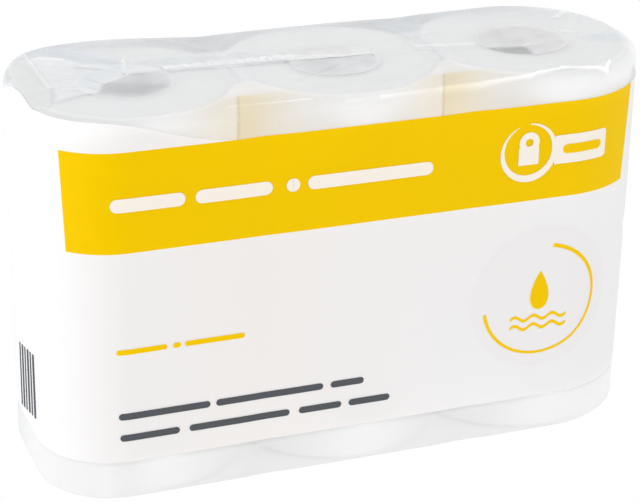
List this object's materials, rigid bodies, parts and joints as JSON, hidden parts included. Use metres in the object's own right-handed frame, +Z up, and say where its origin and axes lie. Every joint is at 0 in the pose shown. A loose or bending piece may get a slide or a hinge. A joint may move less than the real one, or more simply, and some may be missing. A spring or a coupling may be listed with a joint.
{
  "type": "toilet paper roll pack",
  "caption": "Clear printed film pack holding upright toilet rolls in two layers, with folded ends and a heat seal along the top.",
  "frame": {"origin": "middle of the base that the pack stands on", "axes": "+X along the pack's length, -Y its front face, +Z up"},
  "size_m": [0.328, 0.1185, 0.2008],
  "materials": {
    "film": "clear glossy polyethylene film",
    "tissue": "soft matt white tissue, lightly embossed",
    "cardboard": "pale grey board, matt",
    "white_ink": "white ink on glossy film",
    "yellow_ink": "yellow ink on glossy film",
    "cream_ink": "cream ink on glossy film",
    "pale_ink": "pale grey ink on glossy film",
    "grey_ink": "dark grey ink on glossy film"
  },
  "bodies": {
    "root": {"film_wrap": "film", "roll_lower_left": "tissue", "roll_lower_middle": "tissue", "roll_lower_right": "tissue", "roll_upper_left": "tissue", "roll_upper_middle": "tissue", "roll_upper_right": "tissue", "core_lower_left": "cardboard", "core_lower_middle": "cardboard", "core_lower_right": "cardboard", "core_upper_left": "cardboard", "core_upper_middle": "cardboard", "core_upper_right": "cardboard", "print_white": "white_ink", "print_band_front": "yellow_ink", "print_band_back": "yellow_ink", "print_count_badge": "cream_ink", "print_round_badge": "pale_ink", "print_round_ring": "yellow_ink"}
  },
  "joints": []
}
